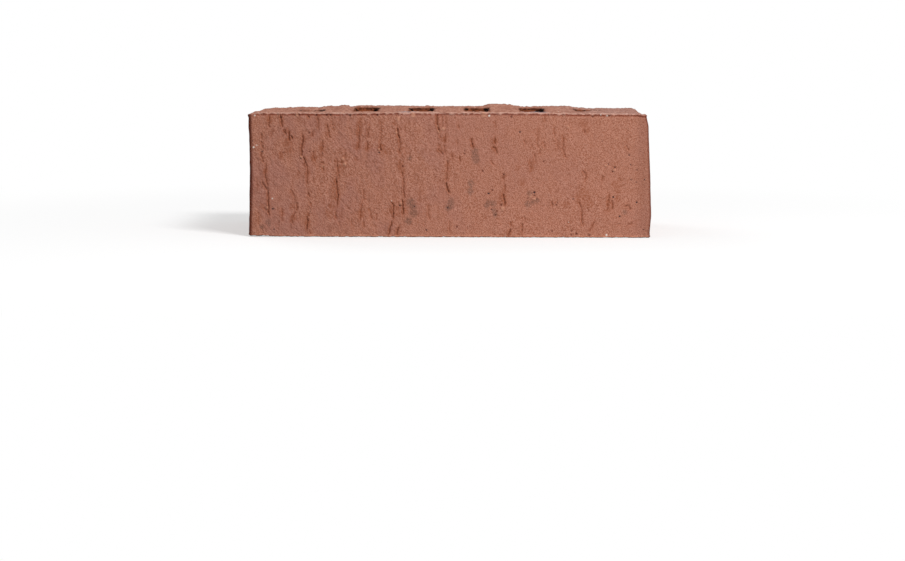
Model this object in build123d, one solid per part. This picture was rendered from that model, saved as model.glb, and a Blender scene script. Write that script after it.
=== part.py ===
"""A perforated clinker brick, fired in one piece.

The clay leaves the die as a column along Z, with its cores making the row of slots.
Wires cut the column square, so both beds are flat and every face runs straight between them.
Origin: middle of the lower bed. +X along the stretcher face, +Y to the back, +Z up. Millimetres.
"""

from build123d import *
import os

# The format, as the brick is sold.
brick_length = 210.0
brick_width = 100.0
brick_height = 65.0

# Upright arrises, rounded by the corners of the die.
arris_radius = 2.0

# Edges round the beds, left by the cutting wire.
bed_edge_radius = 0.7

# One row of slots along the middle of the bed, lying across the brick.
slot_count = 6
slot_width = 14.0
slot_length = 38.0
slot_corner_radius = 4.0

# Clay left standing between two slots.
web_thickness = 16.0

# Worn edge where each slot opens in a bed.
slot_mouth_easing = 0.7


def die_section():
    """The section of the clay column: rounded rectangle, less the slots."""
    outline = RectangleRounded(brick_length, brick_width, arris_radius)
    core = RectangleRounded(slot_width, slot_length, slot_corner_radius)
    slot_pitch = slot_width + web_thickness
    return outline - GridLocations(slot_pitch, 0, slot_count, 1) * core


def cut_column():
    """One brick's height of the column, with both beds still sharp."""
    return extrude(die_section(), brick_height)


def bed_faces(body):
    """The lower and the upper bed."""
    by_height = body.faces().sort_by(Axis.Z)
    return by_height[0], by_height[-1]


def ease_mouths(body):
    """Breaks the edge of each slot where it opens in a bed."""
    mouths = [edge for bed in bed_faces(body) for wire in bed.inner_wires() for edge in wire.edges()]
    return chamfer(mouths, slot_mouth_easing)


def round_beds(body):
    """Rounds the outer edges of both beds."""
    rims = [edge for bed in bed_faces(body) for edge in bed.outer_wire().edges()]
    return fillet(rims, bed_edge_radius)


def make_brick():
    """The finished brick, standing on its lower bed."""
    return round_beds(ease_mouths(cut_column()))


os.makedirs("parts", exist_ok=True)
brick = make_brick()
brick.label = "brick"
export_step(brick, "parts/brick.step")
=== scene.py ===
"""The fired skin of a clinker brick: bark, wire-cut beds, torn slots and the colours of its clay."""

import math

import bmesh
import bpy
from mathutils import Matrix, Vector


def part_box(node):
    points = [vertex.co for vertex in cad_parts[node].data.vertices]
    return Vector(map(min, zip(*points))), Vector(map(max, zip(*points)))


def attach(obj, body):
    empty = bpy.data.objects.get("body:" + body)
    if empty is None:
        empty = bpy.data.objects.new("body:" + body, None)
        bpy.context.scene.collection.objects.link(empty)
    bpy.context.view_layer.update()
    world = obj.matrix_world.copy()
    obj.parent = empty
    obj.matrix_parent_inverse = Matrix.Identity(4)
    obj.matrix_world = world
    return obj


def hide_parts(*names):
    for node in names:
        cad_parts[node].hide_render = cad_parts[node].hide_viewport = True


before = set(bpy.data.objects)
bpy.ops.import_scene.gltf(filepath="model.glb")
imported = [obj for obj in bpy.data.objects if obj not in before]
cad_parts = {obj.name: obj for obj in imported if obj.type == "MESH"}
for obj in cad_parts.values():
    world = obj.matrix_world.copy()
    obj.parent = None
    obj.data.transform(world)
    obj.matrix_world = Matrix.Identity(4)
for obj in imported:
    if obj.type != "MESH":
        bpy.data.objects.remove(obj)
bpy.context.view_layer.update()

MM = 0.001

# The brick, from the frame, in millimetres.
low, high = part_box("brick")
HALF_LENGTH = high.x / MM
HALF_WIDTH = high.y / MM
HEIGHT = high.z / MM

# The photographed face in the photo: its upright edges, its upper edge and its foot, in pixels.
# The photo is turned a little, so all of them drop by FACE_TURN for each pixel to the right.
FACE_LEFT = 248.6
FACE_RIGHT = 650.2
FACE_TOP = 113.3
FACE_FOOT = 237.4
FACE_TURN = 0.0031
PHOTO_MIDDLE = 452.5

# The fine mesh that the relief is pressed into, and what is left of it.
CLAY_GRAIN = 0.42
FACE_TRIANGLES = 98000
BED_TRIANGLES = 52000
OTHER_TRIANGLES = 42000

# How deep the skin of the photographed face and of the upper bed is taken to be, in millimetres.
FACE_SKIN = 2
BED_SKIN = 2.5

# Tears in the photographed face: points across and down the photo, from the top of each tear.
DEEP_TEARS = [
    [(291.2, 135.5), (293.4, 139)],
    [(391.4, 221), (391.4, 225), (390.4, 229), (388.4, 236)],
    [(398.8, 227), (398, 231), (397.2, 235.5)],
    [(495, 137.5), (495.4, 144)],
    [(511.2, 229), (510.4, 232.5), (508.8, 236.8)],
    [
        (303, 134), (303.4, 138), (302.4, 144), (302, 151),
        (302.6, 155), (305, 159), (305.2, 162), (304.6, 167),
    ],
    [(289.8, 131), (289.6, 135), (289.4, 138), (290.3, 141)],
    [(281, 115.5), (281.6, 119), (282.4, 123), (283.2, 127)],
    [(268, 188), (267.8, 193), (268.4, 199), (268.5, 206), (268.8, 212), (269.2, 216)],
    [(308, 219), (307.6, 224), (307, 230)],
    [(336.5, 177), (336.8, 183), (337.6, 189), (338.3, 196), (337.6, 202), (336.8, 208)],
    [(397.4, 127.5), (398.2, 132), (398.8, 136), (400.2, 139)],
    [(392.4, 202.5), (393.8, 205), (393.5, 211), (393.6, 220)],
    [(401.5, 199.5), (403, 201.5), (403.3, 208), (403.8, 215)],
    [(438.2, 114.5), (437.6, 118), (437.4, 123), (438.8, 128), (440.4, 134)],
    [(447, 182), (447.5, 188), (450, 193)],
    [(380.8, 142), (380.5, 147), (381.4, 151)],
    [(471.8, 138.5), (472.4, 143), (473.2, 148)],
    [(503.6, 193.5), (504.3, 198), (505.2, 202), (505.2, 206.5)],
    [(308.4, 115.5), (309.8, 118)],
]
PLAIN_TEARS = [
    [(492.6, 146), (494, 147.6), (495.6, 147.8), (496.6, 150.5), (497, 154.5)],
    [(552.4, 200.5), (553.4, 206.8)],
    [(340.5, 161.8), (342, 162.4), (343.6, 163.4)],
    [(320.4, 161.8), (322.4, 162.4), (324, 164)],
    [(264.3, 207), (265, 209.6), (266.4, 210)],
    [(447.4, 160), (447.6, 168), (447.4, 176), (447, 182)],
    [(403.3, 177), (404.4, 183), (404, 188), (404.4, 194), (405, 199)],
    [(444.4, 145), (444.8, 149), (446.2, 154)],
    [(368.2, 131), (368, 138)],
    [(309.2, 230), (310.2, 234)],
    [(504.6, 174), (504.5, 183)],
    [(283.4, 129), (284.6, 133)],
    [(285.6, 129), (286.2, 132), (287, 135)],
    [(270, 115.5), (270, 121), (269, 124), (270.4, 128)],
    [(261, 133), (261.6, 137), (262.4, 139)],
    [(261.4, 141), (262.4, 146), (264, 149)],
    [(260.6, 151), (261.4, 156), (262.4, 160), (263, 163)],
    [(266.5, 163), (265.6, 168), (264.6, 173), (265.4, 178), (266.8, 184), (267.8, 189)],
    [(261.6, 180), (263.6, 185), (266.4, 189), (268, 191)],
    [(318, 115.5), (318.6, 121), (319, 129)],
    [(327.4, 123), (328.4, 130), (329, 134), (330.6, 139)],
    [(323, 140), (323.2, 145), (322.4, 150), (321.6, 157)],
    [(322.4, 165), (323.6, 167), (324.2, 171)],
    [(313.6, 151), (314, 155), (315, 160)],
    [(313, 131), (313.2, 137)],
    [(306.5, 162), (307.6, 168), (308, 174), (307.6, 180), (307.2, 185)],
    [(336.5, 157), (337.6, 163), (338.2, 170), (339.6, 178)],
    [(308.6, 192), (309, 195), (310.4, 197)],
    [(297, 202), (297.3, 211)],
    [(296, 212), (293, 216), (292, 220), (293.2, 224)],
    [(310, 212), (307.6, 216), (307.2, 220)],
    [(336.2, 210), (336, 215), (336.6, 220)],
    [(359.8, 126), (359.8, 134), (359.4, 140), (358.8, 146), (357.2, 150)],
    [(369.2, 127), (368.4, 131)],
    [(367, 141), (368, 146), (367.3, 151)],
    [(399.8, 138), (400.3, 145), (399.6, 151), (399.4, 155)],
    [(402.4, 172), (403.2, 178)],
    [(440.4, 134), (441, 138)],
    [(445.6, 133), (445.3, 139), (444.8, 144)],
    [(438.4, 148.4), (440.4, 151), (442.4, 152.8)],
    [(362.2, 203), (361.4, 209), (361, 214), (360.4, 222)],
    [(452.4, 153), (453.2, 160)],
    [(459.4, 156.5), (461.2, 162)],
    [(505.2, 184), (505.4, 193.5)],
    [(511, 221.5), (512.2, 227)],
    [(523, 223), (523.3, 233)],
    [(563.8, 134.5), (563.4, 141), (563.5, 149), (564.6, 153.5), (566, 157), (568.4, 157.6)],
    [(583.8, 129), (585.2, 133)],
    [(583, 170), (585, 172.5), (586.6, 176.6), (585.2, 181)],
    [(579, 201.6), (581, 204.5), (582.2, 208), (582.5, 214), (582.8, 220), (584.2, 226)],
    [(596, 221.5), (594, 225), (592, 228), (590.6, 232)],
    [(609.8, 193.5), (609.5, 200), (608.6, 206), (607.4, 213)],
    [(612.8, 200), (613.4, 205), (613.3, 210)],
    [(626, 206.4), (628, 205.2), (630, 207), (630.8, 210)],
]
FAINT_TEARS = [
    [(258.8, 212), (258.5, 218), (259, 223)],
    [(381, 120), (381.5, 128), (381.2, 137), (380.8, 143)],
    [(395.3, 120.5), (395.3, 126)],
    [(400.2, 160), (399.8, 164), (400.2, 169)],
    [(438.4, 142.5), (439.2, 147)],
    [(399.8, 201), (399, 205), (398.4, 211)],
    [(395.6, 195), (395.2, 198)],
    [(420, 189), (420.5, 195), (419.6, 203)],
    [(428.7, 204), (429, 211), (429.8, 219)],
    [(495.4, 121), (496, 129)],
    [(491.4, 159.6), (493.4, 164.4)],
    [(534.6, 153), (535.4, 158), (535.6, 163)],
    [(619.4, 176.5), (621.2, 181.5)],
    [(502, 180), (503.5, 176), (504.5, 182)],
    [(347.6, 206.4), (349.8, 210)],
    [(532.7, 143), (532, 148)],
    [(364, 189), (364, 196), (364.6, 203)],
    [(538.8, 128), (538, 135), (537.7, 143), (538.6, 148)],
    [(273, 129), (272, 132), (270.8, 137)],
    [(332.3, 118), (333, 124), (333.8, 131)],
    [(280.5, 152), (281.2, 159)],
    [(298.8, 170), (298.4, 177)],
    [(345.6, 149), (345.4, 159)],
    [(290, 189), (292.4, 192.4), (294.6, 197), (294.4, 204)],
    [(310.5, 202), (311.4, 208)],
    [(282, 207), (282.2, 214), (281.7, 223)],
    [(338.5, 221), (340.2, 226)],
    [(341.3, 211), (341.7, 219)],
    [(361, 118), (360, 124)],
    [(442.5, 116), (442.6, 128)],
    [(446, 116), (446.2, 128)],
    [(377, 162), (378, 169)],
    [(356, 156), (357.6, 161)],
    [(352, 218), (352.4, 227)],
    [(363.5, 220), (364.2, 228)],
    [(376.4, 213), (377.2, 220)],
    [(370, 208), (371.2, 218)],
    [(458, 139), (457.8, 144)],
    [(458.4, 124), (459.2, 129)],
    [(524.4, 140), (526.6, 145)],
    [(531, 161), (531, 170)],
    [(544.4, 116), (546, 122)],
    [(544, 141), (545.4, 148)],
    [(540.4, 150), (540, 155)],
    [(450, 221), (450.2, 233)],
    [(525, 216), (525.4, 221)],
    [(554.4, 127), (555, 136)],
    [(557.6, 139), (558.2, 150)],
    [(626, 145), (630, 151)],
    [(618, 224.4), (621.4, 223.6)],
    [(628, 225.6), (633.4, 222.4)],
    [(603.4, 176), (602.8, 183)],
    [(256, 178), (256.8, 190)],
]

# How wide and how deep each kind of tear is, in millimetres.
TEAR_SIZES = {"deep": (0.46, 1.05), "plain": (0.42, 0.66), "faint": (0.4, 0.46)}

# Random tears for each square millimetre of the faces, and the seed that scatters them.
TEARS_PER_MM2 = 0.0055
TEAR_SEED = 7

# Marks on the photographed face, in pixels across and down the photo, and their radii in millimetres.
WHITE_GRIT = [
    (255.2, 115, 0.32), (253.2, 147.2, 0.42), (489.3, 116.4, 0.42), (600.8, 115.4, 0.28), (607, 115.8, 0.32),
    (272.4, 198.3, 0.34), (607.8, 235, 0.44), (569.6, 222, 0.26), (256.6, 145, 0.22), (392.2, 200.7, 0.24),
]
IRON_SPOTS = [
    (273, 208.8, 0.46), (520.3, 132, 0.42), (489.2, 193.4, 0.48), (535, 192.2, 0.5), (614, 197, 0.46),
    (636.3, 202.3, 0.42), (620.8, 216.4, 0.42), (574, 199, 0.32), (414.7, 206.4, 0.36), (448.2, 207.8, 0.42),
    (262.4, 151.3, 0.32), (608.8, 164.3, 0.3), (615.4, 167.2, 0.36), (379.6, 152.4, 0.36),
    (631.5, 179.6, 0.3), (636.4, 182, 0.26), (631, 164.8, 0.3), (629.6, 155, 0.38), (252.4, 141, 0.3),
    (489.3, 114.4, 0.36), (400.5, 205.6, 0.32), (644, 179.5, 0.28), (643.5, 229.6, 0.3), (427, 230, 0.34),
    (274, 229.6, 0.3),
]
PITS = [
    (283.5, 152.6, 0.4), (309.8, 151.6, 0.35), (403, 166.3, 0.5), (465, 150.6, 0.35), (464.6, 153.6, 0.4),
    (483, 170.8, 0.5), (504, 174.2, 0.35), (511.5, 117.6, 0.5), (544, 161.2, 0.4), (492, 209.6, 0.45),
    (497.6, 211.4, 0.45), (501.6, 205, 0.5), (528.4, 198.2, 0.4), (537.4, 199, 0.4), (535, 195.4, 0.4),
    (557, 205, 0.4), (558.2, 202.6, 0.35), (553, 231.5, 0.45), (572.6, 231, 0.4), (572.5, 235, 0.45),
    (577.4, 234, 0.45), (590.4, 235.4, 0.5), (592.6, 116.6, 0.45), (602.4, 141.2, 0.35), (613, 171.2, 0.45),
    (457.4, 227, 0.5), (309.8, 132.8, 0.4), (281.2, 117.4, 0.5), (350.5, 115.8, 0.5), (377.7, 115.6, 0.5),
    (298.6, 115.2, 0.6), (316.6, 115.4, 0.5), (327, 115.2, 0.5), (331, 115.4, 0.45), (493, 190, 0.45),
    (443.2, 153.6, 0.4), (300.8, 158.6, 0.4), (496, 215, 0.4), (637, 170, 0.4), (609, 116, 0.4),
]
CRUMBS = [
    (301.4, 157, 0.7), (323.4, 166, 0.6), (345, 163.8, 0.8), (267.2, 207.6, 0.6), (401, 203, 0.7),
    (503.4, 208.4, 0.9), (398.8, 119.4, 0.8), (413.4, 116, 1.1), (484, 115.4, 1.3), (297.6, 115.4, 0.8),
    (531, 196, 0.7), (535.4, 199, 0.6), (615, 170.2, 0.6), (438.4, 126, 0.5), (379.4, 149, 0.5),
    (606.4, 165.5, 0.5), (568.4, 127, 0.6), (616.6, 138.4, 0.5), (439.6, 131.6, 0.7), (443.6, 128.6, 0.8),
    (396.8, 132.4, 0.6), (343.4, 158.6, 0.7),
]
SMUDGES = [
    (411.4, 202.6, 2.3), (413.6, 207, 1.8), (414, 213, 2.2), (409, 221, 1.8), (451.6, 201.4, 1.6),
    (451, 205.4, 1.9), (448.6, 208, 1.5), (487.4, 205.6, 1.4), (489.6, 202.2, 1.4), (494, 203.4, 1.6),
    (496, 214.6, 1.2), (494.6, 210.4, 1.1), (529, 203.4, 1.7), (530.6, 193, 1.4), (537.6, 201, 1.3),
    (533, 201.6, 1.2), (268, 221.6, 1.3), (269, 224.6, 1.0), (261.6, 226.8, 1.3), (475.6, 151, 1.7),
    (475.8, 156, 2.0), (476.6, 160, 1.8), (471.6, 183, 1.6), (471, 191, 1.6), (625.6, 212, 1.1),
    (410, 158, 1.2),
]
# Brown patches, partly stains and partly painted shade beside the tears.
STAINS_AND_SHADE = [
    (288.4, 139, 1.7), (288, 144, 2.3), (289.6, 149.6, 1.8), (286.6, 131, 1.6), (270, 119.6, 1.8),
    (334, 183, 1.5), (334.4, 190, 1.7), (334.8, 197, 1.7), (329, 213, 2.2), (332, 206, 1.6),
    (359, 124, 1.7), (358.6, 132, 1.8), (357, 146, 2.0), (344.6, 160, 1.8), (342, 168, 1.6),
    (388, 152, 2.0), (400.6, 165, 1.8), (402, 170, 1.6), (361.6, 214, 1.8), (389.4, 211, 1.4),
    (398, 214, 1.3), (444.2, 139, 1.6), (440, 150, 1.7), (494, 141, 1.6), (494.6, 148.6, 1.6),
    (501.6, 196, 1.9), (502, 201, 1.6), (584, 193, 2.6), (580, 198, 2.4), (590, 203, 2.4),
    (567, 204, 1.8), (588, 197, 2.0), (615, 166.4, 1.4), (616, 184, 1.8), (619, 190, 1.8),
    (619, 199, 1.6), (609.4, 203, 1.4), (531.6, 162, 1.8), (531, 168.6, 1.8), (308, 172, 1.5),
    (307.4, 222, 1.5), (294, 218, 1.7), (292.4, 207, 1.6), (282, 213, 1.4), (281, 155, 1.4),
    (314, 158, 1.6), (321.6, 148, 1.3), (265.4, 171, 1.5), (261.4, 206, 1.4), (382, 147, 1.6),
    (584, 124, 2.2), (588, 129, 1.6), (522, 182, 1.8), (518, 168, 1.5), (367.6, 148, 1.5),
]

# The upper bed, in millimetres: no point stands higher than this over the edge of the format.
HIGHEST = 1.85

# Its back edge and the lump on it, from left to right: where each climbs or drops, and by how much.
BACK_EDGE_START = -1.5
BACK_EDGE = [
    (-106.5, -98, 0.65), (-98, -84, 0.4), (-81, -77, -0.17), (-76, -66, 0.8), (-63.5, -59, 0.55),
    (-57, -55.4, -0.65), (-52.6, -51.2, 0.6), (-50, -25, -0.3), (64, 80, -1.0), (80, 92, 0.1),
]
LUMP = [(18.2, 22.8, 1.3), (30, 41, -1.3)]

# Grey smears of melted ash on the upper bed: their middles and half sizes, along X and Y, in millimetres.
ASH_SMEARS = [(-22, -32, 6, 18), (45.5, -37, 8, 13)]

# The row of slots: their pitch, the middle of one of them, and where their far wall stands.
SLOT_PITCH = 30
SLOT_MIDDLE = 15
SLOT_END = 19

# How deep the finest relief of the clay looks, in millimetres, and how little it shines.
BUMP_DEPTH = 0.21
SHINE = 0.1

# The floor turns plain white between these distances from the brick, in metres.
# Nearer than that it has this share of white.
WHITE_FROM = 0.16
WHITE_BEYOND = 0.42
WHITE_NEAR = 0.45

# The floor's colour as the camera sees it, and as the light on its way to the brick does.
FLOOR_SEEN = (0.97, 0.97, 0.97, 1)
FLOOR_LIT = (0.5, 0.48, 0.47, 1)

# How strong the light of the white room is.
ROOM_LIGHT = 0.42

# Soft square lamps: name, place, size in metres, power in watts. They aim at the middle of the brick.
LAMPS = [("key", (0.75, -1.15, 1.35), 0.55, 28), ("fill", (-0.9, 1.2, 0.8), 0.9, 6)]
LAMP_AIM = (0, 0, 0.03)

# The photo's viewpoint, in metres and degrees, and its lens and sensor in millimetres.
CAMERA_PLACE = (0.00162, -1.285, 0.111)
CAMERA_DOWN = 6.182
CAMERA_ROLL = -0.18
LENS = 93.95
SENSOR = 36


class Wire:
    """One socket of a node tree. A sum written with it becomes Math nodes."""

    def __init__(self, graph, socket):
        self.graph = graph
        self.socket = socket

    def of(self, key):
        """Another output of the node that this one leaves."""
        return Wire(self.graph, pick(self.socket.node.outputs, key))

    def __add__(self, other):
        return self.graph.math("ADD", self, other)

    def __radd__(self, other):
        return self.graph.math("ADD", other, self)

    def __sub__(self, other):
        return self.graph.math("SUBTRACT", self, other)

    def __rsub__(self, other):
        return self.graph.math("SUBTRACT", other, self)

    def __mul__(self, other):
        return self.graph.math("MULTIPLY", self, other)

    def __rmul__(self, other):
        return self.graph.math("MULTIPLY", other, self)

    def __truediv__(self, other):
        return self.graph.math("DIVIDE", self, other)

    def __rtruediv__(self, other):
        return self.graph.math("DIVIDE", other, self)

    def __abs__(self):
        return self.graph.math("ABSOLUTE", self)


def pick(sockets, key):
    """The socket with that place in the list, or the one in use with that name."""
    if isinstance(key, int):
        return sockets[key]
    return next(socket for socket in sockets if socket.name == key and socket.enabled)


class Graph:
    """A node tree as it is being built."""

    def __init__(self, tree):
        self.tree = tree

    def node(self, kind, settings=None, sockets=None, out=0):
        """Adds a node: its settings, then the values or links of its sockets. Gives one output."""
        made = self.tree.nodes.new(kind)
        for name, value in (settings or {}).items():
            setattr(made, name, value)
        for key, value in (sockets or {}).items():
            self.feed(pick(made.inputs, key), value)
        return Wire(self, pick(made.outputs, out)) if made.outputs else None

    def feed(self, socket, value):
        """Links a wire, or several to one socket, or sets a plain value."""
        if isinstance(value, list):
            for wire in value:
                self.feed(socket, wire)
        elif isinstance(value, Wire):
            self.tree.links.new(value.socket, socket)
        else:
            socket.default_value = value

    def math(self, operation, *values):
        return self.node("ShaderNodeMath", {"operation": operation}, dict(enumerate(values)))

    def arrows(self, operation, *vectors, **others):
        """Vector Math. A scale or a plain number is named."""
        sockets = dict(enumerate(vectors))
        sockets.update({name.capitalize(): value for name, value in others.items()})
        made = self.node("ShaderNodeVectorMath", {"operation": operation}, sockets)
        return made.of("Value") if operation == "LENGTH" else made

    def xyz(self, vector):
        first = self.node("ShaderNodeSeparateXYZ", sockets={"Vector": vector})
        return first, first.of("Y"), first.of("Z")

    def point(self, x, y, z):
        return self.node("ShaderNodeCombineXYZ", sockets={"X": x, "Y": y, "Z": z})

    def step(self, value, start, end, low=0.0, high=1.0):
        """Goes smoothly from low to high as the value goes from start to end."""
        return self.node(
            "ShaderNodeMapRange",
            {"interpolation_type": "SMOOTHSTEP"},
            {"Value": value, "From Min": start, "From Max": end, "To Min": low, "To Max": high},
        )

    def stretch(self, vector, x, y, z):
        """A place divided by the three sizes of a grain."""
        return self.arrows("DIVIDE", vector, (x, y, z))

    def noise(self, vector, detail=2.0, roughness=0.5, shift=0.0):
        """Cloudy noise, about 0.5 on average, with blobs of about one unit."""
        moved = self.arrows("ADD", vector, (shift, shift * 1.7, shift * 2.3))
        return self.node(
            "ShaderNodeTexNoise",
            {"noise_dimensions": "3D"},
            {"Vector": moved, "Scale": 1.0, "Detail": detail, "Roughness": roughness},
        )

    def mix_number(self, share, first, second):
        """One number laid over another by a share."""
        return first + (second - first) * share

    def mix(self, share, first, second):
        """One colour laid over another by a share."""
        sockets = {"Factor": share, "A": first, "B": second}
        return self.node("ShaderNodeMix", {"data_type": "RGBA"}, sockets, "Result")


def shade(red, green, blue):
    """A colour as a screen shows it, from 0 to 255, as the light that it stands for."""
    channels = [value / 255 for value in (red, green, blue)]
    light = [c / 12.92 if c <= 0.04045 else ((c + 0.055) / 1.055) ** 2.4 for c in channels]
    return (*light, 1.0)


# The grain of the clay, dark and pale.
FINE_DARK = shade(161, 101, 78)
FINE_PALE = shade(184, 125, 104)

# The sand in the clay, and its blotches.
SAND_PALE = shade(200, 147, 129)
SAND_DARK = shade(118, 65, 44)
BLOTCH_BROWN = shade(166, 104, 78)

# The torn half: its pink clouds, slanting hatching and upright wrinkles.
CLOUD_PINK = shade(162, 113, 104)
HATCH_DARK = shade(124, 72, 52)
HATCH_PALE = shade(190, 138, 122)
WRINKLE_BROWN = shade(124, 70, 50)

# The beds: to the left and to the right, their pale pinkish-grey partly a painted sheen, their streaks and
# patches, the back edge and the ash.
BED_LEFT_AND_SHEEN = shade(167, 116, 98)
BED_RIGHT_AND_SHEEN = shade(160, 120, 109)
STREAK_DARK = shade(120, 70, 54)
STREAK_PALE = shade(212, 164, 143)
PATCH_BROWN = shade(136, 84, 66)
BACK_BROWN = shade(120, 72, 56)
ASH_GREY = shade(148, 145, 153)

# The slots: their walls near the mouth, their painted shade deep down, the painted shadow at their far ends
# and the painted shadow line under the rim.
WALL_BROWN = shade(148, 82, 54)
WALL_DEEP_SHADE = shade(92, 48, 34)
SLOT_SHADOW_BLACK = shade(14, 6, 4)
RIM_SHADOW = shade(54, 22, 14)

# The edges of the photographed face: painted highlights on the lip and the foot, painted shadow in the crease
# and on the upright edges, and a darker, greyer right end.
LIP_HIGHLIGHT = shade(212, 172, 157)
CREASE_SHADOW = shade(128, 52, 28)
FOOT_HIGHLIGHT = shade(206, 138, 108)
END_GREY = shade(116, 72, 62)
ARRIS_SHADE = shade(86, 26, 6)

# Tears and marks. The tears, the stains and the halo around the tears are partly painted shade, and the
# crumbs are partly a painted highlight.
STAIN_AND_SHADE_BROWN = shade(146, 82, 54)
RUST_AND_SHADE = shade(158, 90, 60)
TEAR_BROWN_AND_SHADE = shade(108, 52, 28)
PIT_BROWN = shade(104, 54, 42)
CRUMB_PALE_AND_HIGHLIGHT = shade(208, 152, 126)
SMUDGE_GREY = shade(112, 82, 70)
IRON_BLACK = shade(40, 34, 42)
GRIT_WHITE = shade(232, 222, 212)


def on_face(across, down):
    """The place on the photographed face that shows at a pixel of the photo."""
    down -= FACE_TURN * (across - PHOTO_MIDDLE)
    share_across = (across - FACE_LEFT) / (FACE_RIGHT - FACE_LEFT)
    share_up = (FACE_FOOT - down) / (FACE_FOOT - FACE_TOP)
    x = -HALF_LENGTH + 2 * HALF_LENGTH * share_across
    return Vector((x, -HALF_WIDTH, HEIGHT * share_up)) * MM


def new_tree(name, inputs):
    """A Geometry Nodes tree with a geometry going through it, and its named inputs."""
    tree = bpy.data.node_groups.new(name, "GeometryNodeTree")
    tree.interface.new_socket("Geometry", in_out="INPUT", socket_type="NodeSocketGeometry")
    for label, kind in inputs.items():
        tree.interface.new_socket(label, in_out="INPUT", socket_type=kind)
    tree.interface.new_socket("Geometry", in_out="OUTPUT", socket_type="NodeSocketGeometry")
    graph = Graph(tree)
    return graph, graph.node("NodeGroupInput")


def end_tree(graph, geometry, material):
    """Ends a tree: instances made real, and the material on."""
    real = graph.node("GeometryNodeRealizeInstances", sockets={"Geometry": geometry})
    painted = {"Geometry": real, "Material": material}
    dressed = graph.node("GeometryNodeSetMaterial", sockets=painted)
    graph.node("NodeGroupOutput", sockets={"Geometry": dressed})


def line_object(name, tears_by_kind):
    """Loose edges along the tears, each point with its tear's width and depth."""
    places, edges, widths, depths = [], [], [], []
    for kind, tears in tears_by_kind.items():
        for tear in tears:
            first = len(places)
            places += [on_face(*spot) for spot in tear]
            edges += [(i, i + 1) for i in range(first, len(places) - 1)]
            widths += [TEAR_SIZES[kind][0]] * len(tear)
            depths += [TEAR_SIZES[kind][1]] * len(tear)
    mesh = bpy.data.meshes.new(name)
    mesh.from_pydata(places, edges, [])
    for label, values in (("tear_width", widths), ("tear_depth", depths)):
        mesh.attributes.new(label, "FLOAT", "POINT").data.foreach_set("value", values)
    made = bpy.data.objects.new(name, mesh)
    bpy.context.scene.collection.objects.link(made)
    return made


def fine_blank():
    """The brick as the frame gives it, in a fine even mesh."""
    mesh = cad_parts["brick"].data.copy()
    merge = bmesh.new()
    merge.from_mesh(mesh)
    bmesh.ops.remove_doubles(merge, verts=merge.verts, dist=0.001 * MM)
    merge.to_mesh(mesh)
    merge.free()
    mesh.materials.clear()
    blank = bpy.data.objects.new("clinker_brick", mesh)
    bpy.context.scene.collection.objects.link(blank)
    even = blank.modifiers.new("even mesh", "REMESH")
    even.mode = "VOXEL"
    even.voxel_size = CLAY_GRAIN * MM
    bake(blank)
    return blank


def bake(piece):
    """Turns a piece and its modifiers into a plain mesh."""
    graph = bpy.context.evaluated_depsgraph_get()
    mesh = bpy.data.meshes.new_from_object(piece.evaluated_get(graph))
    piece.modifiers.clear()
    piece.data = mesh


def point_object(name, spots):
    """Loose points on the photographed face, each with a radius in millimetres."""
    mesh = bpy.data.meshes.new(name)
    mesh.from_pydata([on_face(across, down) for across, down, radius in spots], [], [])
    radii = [radius for across, down, radius in spots]
    mesh.attributes.new("spot_radius", "FLOAT", "POINT").data.foreach_set("value", radii)
    made = bpy.data.objects.new(name, mesh)
    bpy.context.scene.collection.objects.link(made)
    return made


def named(graph, name):
    """A number stored on the points under a name."""
    return graph.node("GeometryNodeInputNamedAttribute", {"data_type": "FLOAT"}, {"Name": name})


def store(graph, geometry, name, value, domain="POINT"):
    """Stores a number on the points, or on another part of a geometry, under a name."""
    return graph.node(
        "GeometryNodeStoreNamedAttribute",
        {"data_type": "FLOAT", "domain": domain},
        {"Geometry": geometry, "Name": name, "Value": value},
    )


def shapes_of(graph, thing):
    """The geometry of another object."""
    relative = {"transform_space": "RELATIVE"}
    return graph.node("GeometryNodeObjectInfo", relative, {"Object": thing}, "Geometry")


def nearest(graph, geometry, name):
    """What the nearest point of a geometry has stored under a name."""
    index = graph.node("GeometryNodeSampleNearest", {"domain": "POINT"}, {"Geometry": geometry})
    return graph.node(
        "GeometryNodeSampleIndex",
        {"data_type": "FLOAT", "domain": "POINT"},
        {"Geometry": geometry, "Value": named(graph, name), "Index": index},
    )


def distance_to(graph, geometry, element):
    """How far the nearest edge or point of a geometry is, in millimetres, and where it is."""
    found = graph.node("GeometryNodeProximity", {"target_element": element}, {0: geometry})
    return found.of("Distance") / MM, found.of("Position")


def chance(graph, seed):
    """A random number from 0 to 1 for each point."""
    return graph.node("FunctionNodeRandomValue", {"data_type": "FLOAT"}, {"Seed": seed}, 1)


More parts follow.
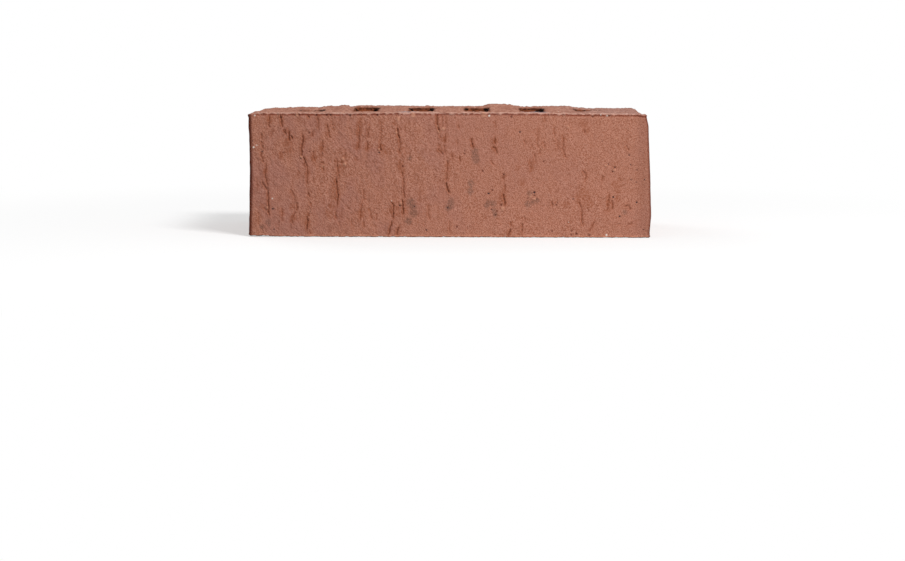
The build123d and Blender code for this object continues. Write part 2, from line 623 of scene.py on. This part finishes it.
def scattered_tears(graph, skin, seed):
    """Wavy upright tears at random: faint ones on the photographed face, all kinds on the others."""
    normal = graph.node("GeometryNodeInputNormal")
    nz = graph.xyz(normal)[2]
    x, y, z = graph.xyz(graph.arrows("SCALE", graph.node("GeometryNodeInputPosition"), scale=1 / MM))
    outer = graph.math("MAXIMUM", abs(x) - (HALF_LENGTH - 1), abs(y) - (HALF_WIDTH - 1))
    upright = graph.math("LESS_THAN", abs(nz), 0.3) * graph.math("GREATER_THAN", outer, 0.0)
    photographed = graph.math("LESS_THAN", y, -HALF_WIDTH + 1)
    crowding = 1.0 + 0.6 * photographed - graph.step(x, -40, 60) * photographed
    spread = graph.node(
        "GeometryNodeDistributePointsOnFaces",
        {"distribute_method": "RANDOM"},
        {"Mesh": skin, "Selection": upright, "Density": crowding * (TEARS_PER_MM2 / MM ** 2), "Seed": seed},
    )
    strand = graph.node("GeometryNodeCurvePrimitiveLine", sockets={"Start": (0, 0, -0.5), "End": (0, 0, 0.5)})
    strand = graph.node("GeometryNodeResampleCurve", sockets={"Curve": strand, "Count": 6})
    draw = chance(graph, 3)
    length = (2.5 + 16 * draw * draw) * (1 - 0.45 * photographed)
    placed = graph.node(
        "GeometryNodeInstanceOnPoints",
        sockets={"Points": spread, "Instance": strand, "Scale": graph.point(1.0, 1.0, length * MM)},
    )
    draw = chance(graph, 5)
    placed = store(graph, placed, "tear_width", 0.3 + 0.2 * draw, "INSTANCE")
    depth = (0.2 + 0.75 * draw * draw) * (1 - 0.72 * photographed)
    placed = store(graph, placed, "tear_depth", depth, "INSTANCE")
    return graph.node("GeometryNodeRealizeInstances", sockets={"Geometry": placed})


def tear_lines(graph, drawn, skin, seed):
    """Every tear as a chain of short edges that wanders a little and thins out at its ends."""
    curves = graph.node("GeometryNodeMeshToCurve", sockets={"Mesh": drawn})
    strands = [curves, scattered_tears(graph, skin, seed)]
    together = graph.node("GeometryNodeJoinGeometry", sockets={"Geometry": strands})
    supple = graph.node("GeometryNodeCurveSplineType", {"spline_type": "CATMULL_ROM"}, {"Curve": together})
    short = graph.node("GeometryNodeResampleCurve", {"mode": "LENGTH"}, {"Curve": supple, "Length": 0.4 * MM})
    along = graph.node("GeometryNodeSplineParameter")
    taper = graph.math("MINIMUM", graph.step(along, 0.0, 0.1, 0.4, 1), graph.step(along, 1.0, 0.85, 0.4, 1))
    short = store(graph, short, "tear_taper", taper)
    where = graph.node("GeometryNodeInputPosition")
    waves = graph.noise(graph.arrows("SCALE", where, scale=1 / (2.2 * MM)), shift=4)
    sway = (waves - 0.5) * 1.4 * MM
    x = graph.xyz(where)[0]
    on_head = graph.math("GREATER_THAN", abs(x), (HALF_LENGTH - 1) * MM)
    moved = graph.node(
        "GeometryNodeSetPosition",
        sockets={"Geometry": short, "Offset": graph.point(sway * (1 - on_head), sway * on_head, 0.0)},
    )
    return graph.node("GeometryNodeCurveToMesh", sockets={"Curve": moved})


def profile(graph, along, start, climbs):
    """A height along an edge, from where it starts and its climbs and drops."""
    height = start
    for first, last, rise in climbs:
        height = height + graph.step(along, first, last, 0.0, rise)
    return height


def bed_lift(graph, x, y):
    """How far the upper bed stands above its plane, in millimetres, where the clay sagged and swelled."""
    back = profile(graph, x, BACK_EDGE_START, BACK_EDGE) * graph.step(y, -15, 22)
    lump = profile(graph, x, 0.0, LUMP) * graph.step(y, 6, 30)
    dish = graph.step(x, -98, -84) * graph.step(x, -52, -66) * graph.step(y, -35, -8) * graph.step(y, 46, 26)
    left = graph.step(x, -97, -104) * graph.step(y, -50, -42) * graph.step(y, 46, 34)
    right = graph.step(x, 97, 104) * graph.step(y, -48, -38) * graph.step(y, 34, 6)
    rims = graph.step(y, 4, 17) * graph.step(y, 44, 24) * 0.35
    worn = graph.step(y, -6, -15) * graph.step(y, -36, -22) * graph.step(abs(x), 60, 66, 0.4, 0.1)
    tips = graph.step(abs(x), HALF_LENGTH - 6, HALF_LENGTH) * graph.step(y, -40, -HALF_WIDTH) * 0.5
    shield = graph.step(x, 72, 77) * graph.step(x, 96, 90) * 0.7
    shield = shield * graph.step(y, -44, -24) * graph.step(y, -14, -18)
    return back + lump + shield + rims - worn - dish * 0.8 - left * 0.8 - right * 1.1 - tips


def clay_skin(material):
    """The tree that presses the relief into the brick and notes where each thing is."""
    marks = {
        "grit": "Grit", "iron": "Iron", "pit": "Pits",
        "crumb": "Crumbs", "smudge": "Smudges", "stain": "Stains",
    }
    inputs = {label: "NodeSocketObject" for label in ("Drawn tears", *marks.values())}
    graph, source = new_tree("clay skin", {**inputs, "Seed": "NodeSocketInt"})
    blank = source.of("Geometry")
    where = graph.arrows("SCALE", graph.node("GeometryNodeInputPosition"), scale=1 / MM)
    x, y, z = graph.xyz(where)
    normal = graph.node("GeometryNodeInputNormal")
    nx, ny, nz = graph.xyz(normal)

    # Which kind of surface a point is on, from 0 to 1.
    rim = 3.0
    outer = graph.step(graph.math("MAXIMUM", abs(x) - (HALF_LENGTH - rim), abs(y) - (HALF_WIDTH - rim)), 0, 1)
    level = graph.step(abs(nz), 0.45, 0.85)
    face = outer * (1 - level)
    core = (1 - outer) * (1 - level)
    upper = graph.math("GREATER_THAN", z, HEIGHT / 2)
    front = graph.step(y, -HALF_WIDTH + 1.5, -HALF_WIDTH + 0.8)

    # The fine mesh is drawn in to the line of each tear.
    tears = tear_lines(graph, shapes_of(graph, source.of("Drawn tears")), blank, source.of("Seed"))
    away, spot = distance_to(graph, tears, "EDGES")
    pull = graph.step(away, 0.75 * CLAY_GRAIN, 0.5 * CLAY_GRAIN) * 0.9
    reach = graph.arrows("SUBTRACT", spot, graph.node("GeometryNodeInputPosition"))
    drawn = graph.node(
        "GeometryNodeSetPosition",
        sockets={"Geometry": blank, "Offset": graph.arrows("SCALE", reach, scale=pull)},
    )

    # Tears, the flaps on their left and the lips beside them.
    width = nearest(graph, tears, "tear_width")
    taper = nearest(graph, tears, "tear_taper")
    depth = nearest(graph, tears, "tear_depth") * taper
    broken = graph.noise(graph.stretch(where, 1.6, 1.6, 2.2), 2, 0.6, 3)
    depth = depth * graph.step(broken, 0.3, 0.6, 0.75, 1.1)
    furrow = graph.step(away / (width * (0.55 + 0.45 * taper)), 1.0, 0.25)
    side = graph.xyz(graph.arrows("SUBTRACT", spot, graph.node("GeometryNodeInputPosition")))
    left = graph.math("GREATER_THAN", side[0], 0.0)
    halo = graph.step(away, 2.0, 0.2) * depth
    flap = halo * (0.3 + 0.7 * left)
    tear = furrow * graph.step(depth, 0.05, 1.0)

    # Relief of the faces that slid along the die, in millimetres outwards.
    torn_half = graph.step(x, 30, -60, 0.65, 1.25)
    scales = graph.noise(graph.stretch(where, 2.2, 2.2, 4.4), 1, 0.5) - 0.5
    hollows = graph.noise(graph.stretch(where, 5.5, 5.5, 12.0), 1, 0.5, 33) - 0.5
    swell = graph.noise(graph.stretch(where, 26, 26, 34), 1, 0.5, 21) - 0.5
    bark = (scales * 0.35 + hollows * 0.5) * torn_half + swell * 0.8
    bark = bark - furrow * depth * 0.9 + flap * 0.26

    # Relief of the beds that the wire cut.
    drag = graph.noise(graph.stretch(where, 3.4, 11.0, 3.0), 1, 0.5, 41) - 0.5
    crumbs = graph.noise(graph.stretch(where, 1.9, 3.2, 2.0), 2, 0.6, 47) - 0.5
    dished = graph.noise(graph.stretch(where, 24, 20, 30), 1, 0.5, 53) - 0.5
    plucked = graph.step(graph.noise(graph.stretch(where, 4.2, 2.4, 3.0), 2, 0.6, 59), 0.58, 0.72)
    cut = drag * 0.7 + crumbs * 1.7 - plucked * 0.3 + dished * 0.5 * upper
    cut = graph.mix_number(upper, graph.math("MINIMUM", cut - 0.15, 0.0), cut)

    # Relief of the slot walls, from the cores of the die, torn where the wire crossed them.
    scored = graph.noise(graph.stretch(where, 1.6, 1.6, 16.0), 2, 0.6, 61) - 0.5
    mouth = graph.step(abs(z - HEIGHT / 2), HEIGHT / 2 - 5, HEIGHT / 2 - 0.8)
    frayed = graph.noise(graph.stretch(where, 2.4, 2.4, 5.0), 3, 0.6, 71) - 0.5
    torn_core = scored * 0.8 + frayed * mouth * 3.0 + 0.6 * mouth * abs(nx) - 0.5 * mouth * abs(ny)

    # Burrs along the edges of the beds, on the faces, and a broken crease under the front lip.
    rag = graph.noise(graph.stretch(where, 3.0, 3.0, 20.0), 3, 0.6, 67)
    upper_burr = graph.step(z, HEIGHT - 1.4, HEIGHT - 0.6) * graph.step(rag, 0.3, 0.65) * 0.6
    foot_burr = graph.step(z, 1.6, 0.5) * graph.step(rag, 0.25, 0.7) * 0.45
    crease = graph.step(z, HEIGHT - 1.6, HEIGHT - 1.2) * graph.step(z, HEIGHT - 0.4, HEIGHT - 0.7)
    gaps = graph.noise(graph.stretch(where, 2.4, 9.0, 9.0), 3, 0.7, 73)
    crease = crease * graph.step(gaps, 0.36, 0.52) * face
    out = face * (bark + upper_burr + foot_burr - crease * 0.25) + core * torn_core + level * cut

    # What the material reads, with painted shade on the two upright front edges.
    left_arris_shade = graph.step(x, -HALF_LENGTH + 2.4, -HALF_LENGTH + 0.8)
    right_arris_shade = graph.step(x, HALF_LENGTH - 1.7, HALF_LENGTH - 0.4) * 0.7
    arris = (left_arris_shade + right_arris_shade) * graph.step(y, -HALF_WIDTH + 2.4, -HALF_WIDTH + 1.7)
    notes = {"tear": tear * face, "halo": halo * face, "bed": level, "core": core}
    notes.update({"crease": crease * front, "arris": arris})

    # Grit, iron spots, pits and raised crumbs.
    for name, socket in marks.items():
        spots = shapes_of(graph, source.of(socket))
        gap, place = distance_to(graph, spots, "POINTS")
        notes[name] = graph.step(gap / nearest(graph, spots, "spot_radius"), 1.4, 0.75)
    out = out - notes["pit"] * 0.4 - notes["iron"] * 0.35 + notes["crumb"] * 0.3 + notes["grit"] * 0.25
    offset = graph.arrows("SCALE", normal, scale=out * MM)

    # The lip that the wire raised along the front of the bed, and the bed's own unevenness.
    lip = graph.step(y, -HALF_WIDTH + 2.6, -HALF_WIDTH + 0.8) * graph.step(rag, 0.25, 0.7, -0.15, 0.25)
    bulge = graph.step(x, -65, -10) * graph.step(x, 78, 40) * graph.step(y, -20, -HALF_WIDTH) * 0.4
    lip = lip * graph.step(abs(x), HALF_LENGTH, HALF_LENGTH - 8, -0.8, 1.0) + bulge
    foot_lift = (1 - upper) * graph.step(z, 8, 1) * graph.step(x, -80, -103) * graph.step(y, 20, -40) * 0.4
    lift = upper * graph.step(z, HEIGHT - 6, HEIGHT - 0.5) * (bed_lift(graph, x, y) + lip) + foot_lift
    lift = graph.math("MINIMUM", lift, HIGHEST - level * cut)

    # The right head leans out towards its foot, and the upper left corner has an ear.
    lean = (45 - z) * 0.0412 - graph.step(z, 57, 65) * 0.9 - graph.step(z, 14, 1) * 1.1
    lean = lean * graph.step(x, 88, HALF_LENGTH)
    bow = graph.step(z, 16, 28, 0.16, 0.56) - graph.step(z, 40, 60, 0.0, 0.42)
    bow = bow * graph.step(x, -88, -HALF_LENGTH)
    ear = graph.step(z, HEIGHT - 2.8, HEIGHT - 0.8) + graph.step(z, 6.5, 3) * 0.5
    ear = ear * graph.step(x, -HALF_LENGTH + 4, -HALF_LENGTH) * graph.step(y, -40, -HALF_WIDTH + 1)
    offset = graph.arrows("ADD", offset, graph.point((lean + bow - ear * 0.5) * MM, 0.0, lift * MM))

    noted = drawn
    for name, value in notes.items():
        noted = store(graph, noted, name, value)
    pressed = graph.node("GeometryNodeSetPosition", sockets={"Geometry": noted, "Offset": offset})
    end_tree(graph, pressed, material)
    return graph.tree


def set_inputs(modifier, tree, values):
    """Sets the inputs of a Geometry Nodes modifier by their names in the tree."""
    modifier.node_group = tree
    for item in tree.interface.items_tree:
        if item.in_out == "INPUT" and item.name in values:
            modifier[item.identifier] = values[item.name]


def fired_clay():
    """Rough red-brown clay, pink and brown in the grain, rust-brown in its tears."""
    material = bpy.data.materials.new("fired_clay")
    material.use_nodes = True
    graph = Graph(material.node_tree)
    surface = material.node_tree.nodes["Principled BSDF"]
    place = graph.node("ShaderNodeTexCoord", out="Object")
    where = graph.arrows("SCALE", place, scale=1 / MM)
    x, y, z = graph.xyz(where)

    def noted(name):
        return graph.node("ShaderNodeAttribute", {"attribute_name": name}, out="Fac")

    tear, halo, bed, core = noted("tear"), noted("halo"), noted("bed"), noted("core")
    front = graph.step(y, -HALF_WIDTH + 2.2, -HALF_WIDTH + 1.2)
    grain = graph.noise(graph.stretch(where, 1.25, 1.25, 1.25), 1, 0.6)
    sand = graph.noise(graph.stretch(where, 0.44, 0.44, 0.44), 0, 0.5, 5)
    blotch = graph.noise(graph.stretch(where, 3.4, 3.4, 4.6), 2, 0.6, 12)
    cloud = graph.noise(graph.stretch(where, 20, 20, 30), 2, 0.5, 17)
    slope = (x - z) * 0.7
    across = (x + z) * 0.7
    hatch = graph.noise(graph.point(slope / 3.0, y / 2.0, across / 0.75), 1, 0.5, 27)
    wrinkle = graph.noise(graph.stretch(where, 0.8, 0.8, 3.6), 1, 0.5, 43)
    torn_half = graph.step(x, 30, -60, 0.3, 1.0)

    # The clay: grain, sand, and the tints and wrinkles of the torn half.
    colour = graph.mix(graph.step(grain, 0.25, 0.75), FINE_DARK, FINE_PALE)
    colour = graph.mix(graph.step(sand, 0.42, 0.68, 0.0, 0.6), colour, SAND_PALE)
    colour = graph.mix(graph.step(sand, 0.5, 0.28) * 0.48, colour, SAND_DARK)
    colour = graph.mix(graph.step(blotch, 0.38, 0.62) * 0.15, colour, BLOTCH_BROWN)
    colour = graph.mix(graph.step(cloud, 0.46, 0.62) * torn_half * 0.4, colour, CLOUD_PINK)
    colour = graph.mix(graph.step(hatch, 0.48, 0.32) * torn_half * 0.34, colour, HATCH_DARK)
    colour = graph.mix(graph.step(hatch, 0.52, 0.7) * torn_half * 0.3, colour, HATCH_PALE)
    colour = graph.mix(graph.step(wrinkle, 0.44, 0.3) * torn_half * 0.22, colour, WRINKLE_BROWN)

    # The beds: streaks along the way of the wire, and grey smears of ash.
    streak = graph.noise(graph.stretch(where, 1.7, 6.0, 3.0), 3, 0.75, 31)
    patch = graph.noise(graph.stretch(where, 5.0, 16.0, 3.0), 1, 0.6, 35)
    # The beds' pale pinkish-grey is partly a painted sheen.
    bed_tone_and_sheen = graph.mix(graph.step(x, 50, 80), BED_LEFT_AND_SHEEN, BED_RIGHT_AND_SHEEN)
    bed_tone_and_sheen = graph.mix(graph.step(streak, 0.48, 0.34) * 0.6, bed_tone_and_sheen, STREAK_DARK)
    bed_tone_and_sheen = graph.mix(graph.step(streak, 0.52, 0.68) * 0.6, bed_tone_and_sheen, STREAK_PALE)
    bed_tone_and_sheen = graph.mix(graph.step(patch, 0.5, 0.36) * 0.45, bed_tone_and_sheen, PATCH_BROWN)
    bed_tone_and_sheen = graph.mix(graph.step(y, HALF_WIDTH - 9, HALF_WIDTH - 1) * 0.45, bed_tone_and_sheen, BACK_BROWN)
    colour = graph.mix(bed * 0.85, colour, bed_tone_and_sheen)
    for middle_x, middle_y, half_x, half_y in ASH_SMEARS:
        away = graph.arrows("LENGTH", graph.point((x - middle_x) / half_x, (y - middle_y) / half_y, 0.0))
        smear = graph.step(away + blotch * 0.9 + streak * 0.9, 2.1, 1.2)
        smear = smear * bed * graph.step(z, HEIGHT / 2, HEIGHT - 3)
        colour = graph.mix(smear * 0.65, colour, ASH_GREY)

    # The slots: brown walls with painted shade that deepens inwards, painted shadow near the far end, and a
    # painted shadow line under its rim.
    deep = graph.step(z, HEIGHT - 1, HEIGHT - 6)
    pitch = graph.math("WRAP", x - SLOT_MIDDLE, SLOT_PITCH / 2, -SLOT_PITCH / 2)
    slot_shadow_noise = graph.noise(graph.stretch(where, 2.2, 6.0, 1.4), 2, 0.7, 37)
    slot_shadow_noise = slot_shadow_noise + graph.step(pitch, 2.6, 5.5, 0.0, 0.25) + graph.step(pitch, -3.5, -6.0, 0.0, 0.16)
    slot_shadow_noise = slot_shadow_noise + graph.step(abs(x), 62, 68, 0.0, 0.08)
    slot_shadow = graph.step(slot_shadow_noise, 0.5, 0.72) * graph.step(z, HEIGHT - 7, HEIGHT - 3)
    slot_shadow = slot_shadow * graph.step(y, -4, 8, 0.5, 1.0)
    walls = graph.mix(deep, WALL_BROWN, WALL_DEEP_SHADE)
    colour = graph.mix(core, colour, graph.mix(slot_shadow, walls, SLOT_SHADOW_BLACK))
    rim_shadow = graph.step(z, HEIGHT - 1.1, HEIGHT - 0.6) * graph.step(z, HEIGHT + 0.5, HEIGHT + 0.1)
    far_end = graph.step(y, SLOT_END - 1, SLOT_END - 0.4) * graph.step(y, SLOT_END + 1.2, SLOT_END + 0.7)
    rim_shadow = rim_shadow * far_end * graph.step(abs(pitch), 6.8, 5.8) * graph.step(abs(x), 68, 64)
    gaps = graph.noise(graph.stretch(where, 4.5, 30.0, 30.0), 2, 0.6, 83)
    colour = graph.mix(rim_shadow * graph.step(gaps, 0.42, 0.54) * 0.7, colour, RIM_SHADOW)

    # Brown patches on the photographed face, partly stains and partly painted shade beside the tears, and an
    # orange-brown halo around each tear, partly rust-brown clay and partly painted shade.
    colour = graph.mix(noted("stain") * graph.step(grain, 0.7, 0.35, 0.15, 0.5), colour, STAIN_AND_SHADE_BROWN)
    colour = graph.mix(graph.math("MINIMUM", halo * 0.55, 0.45), colour, RUST_AND_SHADE)

    # The front lip of the bed gets a broken painted highlight, with a broken painted shadow in the crease
    # under it, and the foot gets a painted highlight.
    ragged = graph.noise(graph.stretch(where, 1.3, 1.3, 1.3), 3, 0.7, 23)
    lip = graph.step(y, -HALF_WIDTH + 3.2, -HALF_WIDTH + 1.2) * graph.step(z, HEIGHT - 1.2, HEIGHT - 0.3)
    colour = graph.mix(lip * graph.step(ragged, 0.3, 0.6, 0.3, 0.56), colour, LIP_HIGHLIGHT)
    colour = graph.mix(noted("crease") * 0.8, colour, CREASE_SHADOW)
    foot_highlight = graph.step(z, 1.3, 0.7) * front * graph.step(ragged, 0.35, 0.5)
    colour = graph.mix(foot_highlight * 0.6, colour, FOOT_HIGHLIGHT)
    right_end = graph.step(x, HALF_LENGTH - 9, HALF_LENGTH - 3) * front
    colour = graph.mix(right_end * 0.22, colour, END_GREY)
    # Painted shade on the two upright front edges.
    colour = graph.mix(noted("arris") * 0.85, colour, ARRIS_SHADE)

    # Tears and marks, the dark brown of the tears partly painted shade in their furrows, and the whole face a
    # little darker to the left, partly painted shade, and paler at the foot.
    colour = graph.mix(tear * 0.68, colour, TEAR_BROWN_AND_SHADE)
    colour = graph.mix(noted("pit") * 0.8, colour, PIT_BROWN)
    # The raised crumbs are pale, partly paler clay and partly a painted highlight.
    colour = graph.mix(noted("crumb") * 0.55, colour, CRUMB_PALE_AND_HIGHLIGHT)
    speckle = graph.step(graph.noise(graph.stretch(where, 0.6, 0.6, 0.6), 1, 0.6, 49), 0.35, 0.65, 0.15, 0.75)
    colour = graph.mix(noted("smudge") * speckle, colour, SMUDGE_GREY)
    colour = graph.mix(noted("iron"), colour, IRON_BLACK)
    colour = graph.mix(noted("grit"), colour, GRIT_WHITE)
    # Darker to the left partly as painted shade where the key light falls off, partly the clay's own tone.
    shade_and_tone = graph.step(x, -HALF_LENGTH, 70, 0.93, 1.024) * graph.step(z, 50, 5, 0.99, 1.03)
    colour = graph.mix(front, colour, graph.arrows("SCALE", colour, scale=shade_and_tone))
    graph.feed(surface.inputs["Base Color"], colour)
    graph.feed(surface.inputs["Roughness"], 0.8 + 0.15 * grain + 0.2 * core)
    relief = grain + sand * 0.4 + (hatch + wrinkle * 1.3) * torn_half
    bump = {"Strength": 1.0, "Distance": BUMP_DEPTH * MM, "Height": relief}
    graph.feed(surface.inputs["Normal"], graph.node("ShaderNodeBump", sockets=bump))
    surface.inputs["Specular IOR Level"].default_value = SHINE
    return material


def make_brick():
    """The brick with its relief, in one closed mesh."""
    piece = fine_blank()
    clay = fired_clay()
    drawn = line_object("drawn_tears", {"deep": DEEP_TEARS, "plain": PLAIN_TEARS, "faint": FAINT_TEARS})
    spots = {
        "Grit": WHITE_GRIT, "Iron": IRON_SPOTS, "Pits": PITS,
        "Crumbs": CRUMBS, "Smudges": SMUDGES, "Stains": STAINS_AND_SHADE,
    }
    values = {label: point_object(label.lower(), places) for label, places in spots.items()}
    values["Drawn tears"] = drawn
    helpers = list(values.values())
    values["Seed"] = TEAR_SEED
    relief = piece.modifiers.new("clay skin", "NODES")
    set_inputs(relief, clay_skin(clay), values)
    bake(piece)
    for helper in helpers:
        bpy.data.objects.remove(helper)
    thin_out(piece)
    for polygon in piece.data.polygons:
        polygon.use_smooth = True
    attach(piece, "root")
    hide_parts("brick")


def region(place):
    """Which part of the skin a place is on: the photographed face, the upper bed or the rest."""
    if place.y < (-HALF_WIDTH + FACE_SKIN) * MM:
        return "face"
    return "bed" if place.z > (HEIGHT - BED_SKIN) * MM else "rest"


def thin_out(piece):
    """Merges the smallest triangles of each region until it has its share."""
    shares = {"rest": OTHER_TRIANGLES, "bed": BED_TRIANGLES, "face": FACE_TRIANGLES}
    for name, share in shares.items():
        mesh = piece.data
        mesh.calc_loop_triangles()
        kept = sum(region(triangle.center) != name for triangle in mesh.loop_triangles)
        group = piece.vertex_groups.new(name=name)
        group.add([point.index for point in mesh.vertices if region(point.co) == name], 1.0, "REPLACE")
        thin = piece.modifiers.new("thin out", "DECIMATE")
        thin.ratio = (kept + share) / len(mesh.loop_triangles)
        thin.vertex_group = group.name
        thin.vertex_group_factor = 1.0
        bake(piece)
        piece.vertex_groups.clear()


def lay_floor():
    """A plain pale floor that keeps the brick's shadow and is plain white further out."""
    mesh = bpy.data.meshes.new("floor")
    reach = 8.0
    corners = [(-reach, -reach, 0), (reach, -reach, 0), (reach, reach, 0), (-reach, reach, 0)]
    mesh.from_pydata(corners, [], [(0, 1, 2, 3)])
    floor = bpy.data.objects.new("floor", mesh)
    bpy.context.scene.collection.objects.link(floor)
    material = bpy.data.materials.new("pale_floor")
    material.use_nodes = True
    graph = Graph(material.node_tree)
    surface = material.node_tree.nodes["Principled BSDF"]
    seen = looked_at(graph)
    graph.feed(surface.inputs["Base Color"], graph.mix(seen, FLOOR_LIT, FLOOR_SEEN))
    surface.inputs["Roughness"].default_value = 1.0
    surface.inputs["Specular IOR Level"].default_value = 0.0
    where = graph.node("ShaderNodeTexCoord", out="Object")
    far = graph.step(graph.arrows("LENGTH", where), WHITE_FROM, WHITE_BEYOND, WHITE_NEAR, 1.0)
    glow = graph.node("ShaderNodeEmission", sockets={"Color": (1, 1, 1, 1), "Strength": 1.0})
    plain = Wire(graph, surface.outputs[0])
    cover = graph.node("ShaderNodeMixShader", sockets={0: far * seen, 1: plain, 2: glow})
    graph.feed(material.node_tree.nodes["Material Output"].inputs["Surface"], cover)
    mesh.materials.append(material)


def looked_at(graph):
    """1 for what the camera sees, straight or in a gloss or a glass, and 0 for light on its way."""
    rays = graph.node("ShaderNodeLightPath")
    seen = rays.of("Is Camera Ray") + rays.of("Is Glossy Ray") + rays.of("Is Transmission Ray")
    return graph.math("MINIMUM", seen, 1.0)


def hang_lamp(name, place, size, power):
    """A soft square lamp aimed at the brick."""
    light = bpy.data.lights.new(name, "AREA")
    light.energy = power
    light.size = size
    lamp = bpy.data.objects.new(name, light)
    lamp.location = place
    lamp.rotation_euler = (Vector(LAMP_AIM) - Vector(place)).to_track_quat("-Z", "Y").to_euler()
    bpy.context.scene.collection.objects.link(lamp)


def light_studio():
    """Soft light from above, in front and to the right, a weak one from behind, and a white room."""
    for lamp in LAMPS:
        hang_lamp(*lamp)
    world = bpy.data.worlds.new("white_room")
    world.use_nodes = True
    graph = Graph(world.node_tree)
    room = world.node_tree.nodes["Background"]
    graph.feed(room.inputs["Strength"], ROOM_LIGHT + (1 - ROOM_LIGHT) * looked_at(graph))
    room.inputs["Color"].default_value = (1, 1, 1, 1)
    bpy.context.scene.world = world


def set_camera():
    """The photo's viewpoint: a long lens, straight on and a little above."""
    data = bpy.data.cameras.new("camera")
    data.sensor_width = SENSOR
    data.lens = LENS
    camera = bpy.data.objects.new("camera", data)
    camera.location = CAMERA_PLACE
    camera.rotation_euler = (math.radians(90 - CAMERA_DOWN), math.radians(CAMERA_ROLL), 0)
    bpy.context.scene.collection.objects.link(camera)
    bpy.context.scene.camera = camera


make_brick()
lay_floor()
light_studio()
set_camera()
bpy.context.scene.view_settings.view_transform = "Standard"
